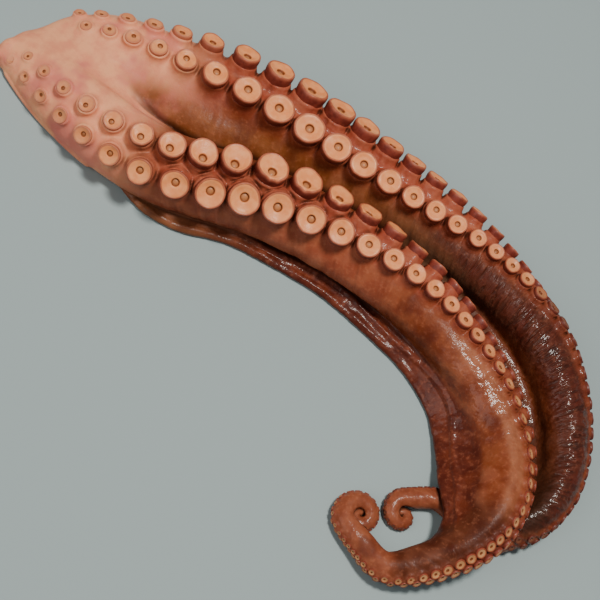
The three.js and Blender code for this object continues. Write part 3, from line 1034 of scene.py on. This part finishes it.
def flesh_material():
    shader = Shader("cooked_flesh")
    read, mix, ramp, product = shader.attribute, shader.mix, shader.ramp, shader.product
    broad, grain = shader.noise(42, 3), shader.noise(520, 4)
    spread = ramp(shader.noise(130, 4), 0.35, 0.65)

    def mottled(tones):
        return mix(spread, rgb(*tones[0]), rgb(*tones[1]))

    def over(colour, name, tone):
        """Lays a tone where an attribute is high, with a broken edge."""
        amount = shader.math("SUBTRACT", shader.math("ADD", read(name), product(broad, 0.3)), 0.15)
        return mix(ramp(amount, 0.15, 0.75), colour, tone)

    # the patches of skin, with painted light along the near arm's ridge and the belly's brown flesh
    # deepened towards the crease as painted shade
    colour = mottled(SKIN_TONES)
    for name, tones in PATCH_TONES.items():
        colour = over(colour, name, mottled(tones))
    # browner belly flesh and painted shade, both deepening towards the crease
    colour = mix(ramp(read("belly"), 0, 0.75), colour, mottled(BELLY_BROWN_AND_SHADE_TONES))
    flap = mix(ramp(read("s"), 85, 155), mottled(FLAP_START_TONES), mottled(FLAP_TONES))
    colour = over(colour, "on_flap", flap)
    pink = product(ramp(broad, 0.50, 0.66), read("base"), 0.8)
    colour = mix(pink, colour, rgb(202, 108, 100))
    colour = mix(ramp(grain, 0.52, 0.72, 0, 0.12), colour, rgb(214, 134, 100))

    # painted shade in the folds, painted light on their backs, redder flesh at the stalks
    raised = ramp(read("raised"), -0.5, 0.5)
    # painted shade at the bottoms of the folds
    colour = mix(ramp(raised, 0.0, 0.45, 0.55, 0), colour, rgb(76, 26, 16))
    # painted light on the raised backs of the folds
    lit_backs = product(ramp(raised, 0.6, 1.0, 0, 0.14), ramp(read("far_flank"), 0, 1, 1, 0.2))
    colour = mix(lit_backs, colour, rgb(206, 130, 100))
    off_base = shader.inverse(read("base"))
    colour = mix(product(read("stalk"), off_base, 0.55), colour, rgb(146, 66, 48))

    # painted shade where flesh closes on flesh: dark tones in the valley between the arms, in hollows and
    # along the crease
    gap = read("gap")
    # painted shade of the valley between the arms, darker further along
    gap_shade_tone = mix(ramp(read("s"), 225, 280), rgb(96, 70, 54), rgb(58, 36, 24))
    colour = mix(product(gap, 0.8), colour, gap_shade_tone)
    # painted shade: a near-black brown in hollows and along the crease
    hollow = product(ramp(read("hollow"), 0.45, 1.1), off_base)
    hollow_and_crease_shade = shader.math("MAXIMUM", hollow, ramp(read("crease"), 0.1, 1.0))
    colour = mix(product(hollow_and_crease_shade, 0.85), colour, rgb(46, 22, 13))

    # fine ridges across the flanks
    around = product(read("angle"), 0.9)
    place = shader.add("ShaderNodeCombineXYZ", {
        "X": shader.math("ADD", shader.math("DIVIDE", read("s"), 3.2), around),
        "Y": around,
        "Z": product(read("on_far"), 9)})
    waves = shader.math("SUBTRACT", shader.noise(1, 2, 0.5, place.outputs[0]), 0.5)
    ridges = ramp(shader.math("ABSOLUTE", waves), 0.0, 0.16, 1, 0)
    ridged = shader.math("ADD", read("far_flank"), product(read("low_flank"), 0.15))
    open_skin = shader.inverse(shader.math("MAXIMUM", hollow_and_crease_shade, gap))
    ridged = shader.math("MULTIPLY", ridged, open_skin, clamp=True)
    colour = mix(product(ridges, ridged, 0.4), colour, rgb(104, 46, 32))

    # bumps, and the wet coat
    wet = read("wet")
    height = shader.math("ADD", shader.noise(700, 4), product(grain, 1.4))
    normal = shader.bump(height, 0.18, 0.0006)
    normal = shader.bump(ridges, product(ridged, 0.6), 0.0009, normal)
    calm = product(read("on_flap"), ramp(read("s"), 240, 285, 1, 0.2))
    uneven = product(ramp(wet, 0.1, 0.9, 0.05, 0.5), ramp(calm, 0, 1, 1, 0.25))
    normal = shader.bump(shader.noise(240, 2), uneven, 0.0014, normal)
    rough = ramp(shader.noise(260, 3), 0.35, 0.7, 0.42, 0.58)
    dry = shader.math("MAXIMUM", hollow_and_crease_shade, product(gap, ramp(read("s"), 250, 300, 1, 0.1)))
    coat = product(ramp(dry, 0.15, 0.6, 1, 0), ramp(wet, 0.25, 0.95, 0.02, 0.34))
    return shader.finish(
        base_color=colour, roughness=rough, specular_ior_level=0.12, normal=normal,
        coat_weight=coat, coat_roughness=0.12, coat_normal=normal,
        subsurface_weight=0.12, subsurface_radius=(1.0, 0.35, 0.2), subsurface_scale=0.002)


# Pairs of tones that mottle the cups.
CUP_TONES = dict(
    wall=((108, 42, 32), (134, 58, 44)),
    rim=((158, 82, 56), (178, 100, 70)),
    face=((228, 138, 80), (238, 154, 96)),
    small_face=((206, 128, 84), (214, 140, 94)),
    far_out_face=((184, 126, 80), (200, 144, 98)),
)


def cup_material():
    """Reads how far in each ring of a cup lies: wall, rim, face, then the hole."""
    shader = Shader("sucker_cup")
    read, mix, ramp, product = shader.attribute, shader.mix, shader.ramp, shader.product
    ring, base = read("ring"), read("base")
    big = ramp(read("size"), 5.5, 11.5)
    far_out = ramp(read("along"), 225, 300)
    spread = ramp(shader.noise(300, 4), 0.35, 0.65)
    tone = {key: mix(spread, rgb(*pair[0]), rgb(*pair[1])) for key, pair in CUP_TONES.items()}
    wall = mix(base, tone["wall"], rgb(196, 118, 86))
    rim = mix(base, mix(far_out, tone["rim"], rgb(146, 70, 44)), rgb(198, 122, 88))
    face = mix(far_out, mix(big, tone["small_face"], tone["face"]), tone["far_out_face"])
    face_ring = shader.math("SUBTRACT", ring, product(shader.math("MAXIMUM", far_out, base), 0.08))
    bottom = mix(big, rgb(124, 68, 32), rgb(182, 116, 70))
    colour = mix(ramp(ring, 0.23, 0.36), wall, rim)
    colour = mix(ramp(face_ring, 0.40, 0.50), colour, face)
    # the hole's darker brown lining, deepened as painted shade on its steep sides
    colour = mix(ramp(ring, 0.68, 0.78), colour, rgb(128, 66, 28))
    colour = mix(ramp(ring, 0.86, 0.94), colour, bottom)
    darker = product(ramp(read("along"), 252, 274), read("on_far"), 0.8)
    colour = mix(darker, colour, rgb(88, 36, 26))
    normal = shader.bump(shader.noise(650, 3), 0.25, 0.0005)
    return shader.finish(
        base_color=colour, roughness=0.5, specular_ior_level=0.3, normal=normal,
        coat_weight=0.08, coat_roughness=0.2, coat_normal=normal,
        subsurface_weight=0.12, subsurface_radius=(1.0, 0.4, 0.2), subsurface_scale=0.002)


# ---- build ----

FLOOR_HALF = 3000.0


def dress(piece, material):
    """Gives a piece its material, and tells the frame what it is."""
    piece.data.materials.append(material)
    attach(piece, "root")
    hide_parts("octopus_arms")


def split(vertices, faces, normals, values, choice, name, material):
    """One piece of the flesh: the faces chosen, with the normals of the whole."""
    used, kept = np.unique(faces[choice], return_inverse=True)
    chosen_values = {key: value[used] for key, value in values.items()}
    piece = make_mesh(name, vertices[used], kept.reshape(-1, 4), chosen_values, normals[used])
    dress(piece, material)
    return piece


def make_floor():
    corners = np.array([[-1, -1, 0], [1, -1, 0], [1, 1, 0], [-1, 1, 0]]) * FLOOR_HALF
    floor = make_mesh("floor", corners, np.array([[0, 1, 2, 3]]), {})
    look = Shader("floor").finish(base_color=rgb(150, 166, 168), roughness=0.8)
    floor.data.materials.append(look)


def area_light(name, place, size, power, colour):
    """A round lamp that shines towards the middle of the floor."""
    data = bpy.data.lights.new(name, "AREA")
    data.shape = "DISK"
    data.size, data.energy, data.color = size, power, colour
    light = bpy.data.objects.new(name, data)
    light.location = place
    light.rotation_mode = "QUATERNION"
    light.rotation_quaternion = (-Vector(place)).to_track_quat("-Z", "Y")
    bpy.context.scene.collection.objects.link(light)


def make_lights():
    area_light("key", (0.10, 0.08, 1.25), size=0.24, power=16, colour=(1.0, 0.94, 0.86))
    area_light("fill", (-0.7, -0.9, 0.9), size=1.2, power=7.5, colour=(1.0, 0.96, 0.92))
    world = bpy.data.worlds.new("world")
    world.use_nodes = True
    background = world.node_tree.nodes["Background"].inputs
    background["Color"].default_value = (0.80, 0.87, 0.92, 1)
    background["Strength"].default_value = 0.17
    bpy.context.scene.world = world


make_camera()
vertices, faces, field, low = build_flesh()
normals = unit(grid_slope(field, low, vertices) + 1e-9)
values = paint_values(vertices, normals, field, low)
values["raised"] = relief(vertices, values)
vertices += normals * values["raised"][:, None]
vertices[:, 2] = np.maximum(vertices[:, 2], 0)
normals = vertex_normals(vertices, faces)

middle_x = vertices[faces[:, 0], 0]
far_face = values["on_far"][faces[:, 0]] > 0.5
flesh_look = flesh_material()
for name, choice in (
        ("far_arm_base", far_face & (middle_x < 0)),
        ("far_arm_bend", far_face & (middle_x >= 0)),
        ("near_arm_base", ~far_face & (middle_x < 0)),
        ("near_arm_bend", ~far_face & (middle_x >= 0))):
    made = split(vertices, faces, normals, values, choice, name, flesh_look)
    print(name, "triangles", 2 * len(made.data.polygons))

cup_look = cup_material()
for seed, name in enumerate(("far", "near")):
    chosen = [sucker for sucker in SUCKERS if sucker["arm"] == name]
    cup_vertices, cup_faces, cup_values = build_cups(chosen, seed)
    cups = make_mesh(f"{name}_suckers", cup_vertices, cup_faces, cup_values)
    dress(cups, cup_look)
    print(name, "suckers", len(chosen), "faces", len(cup_faces))

make_floor()
make_lights()
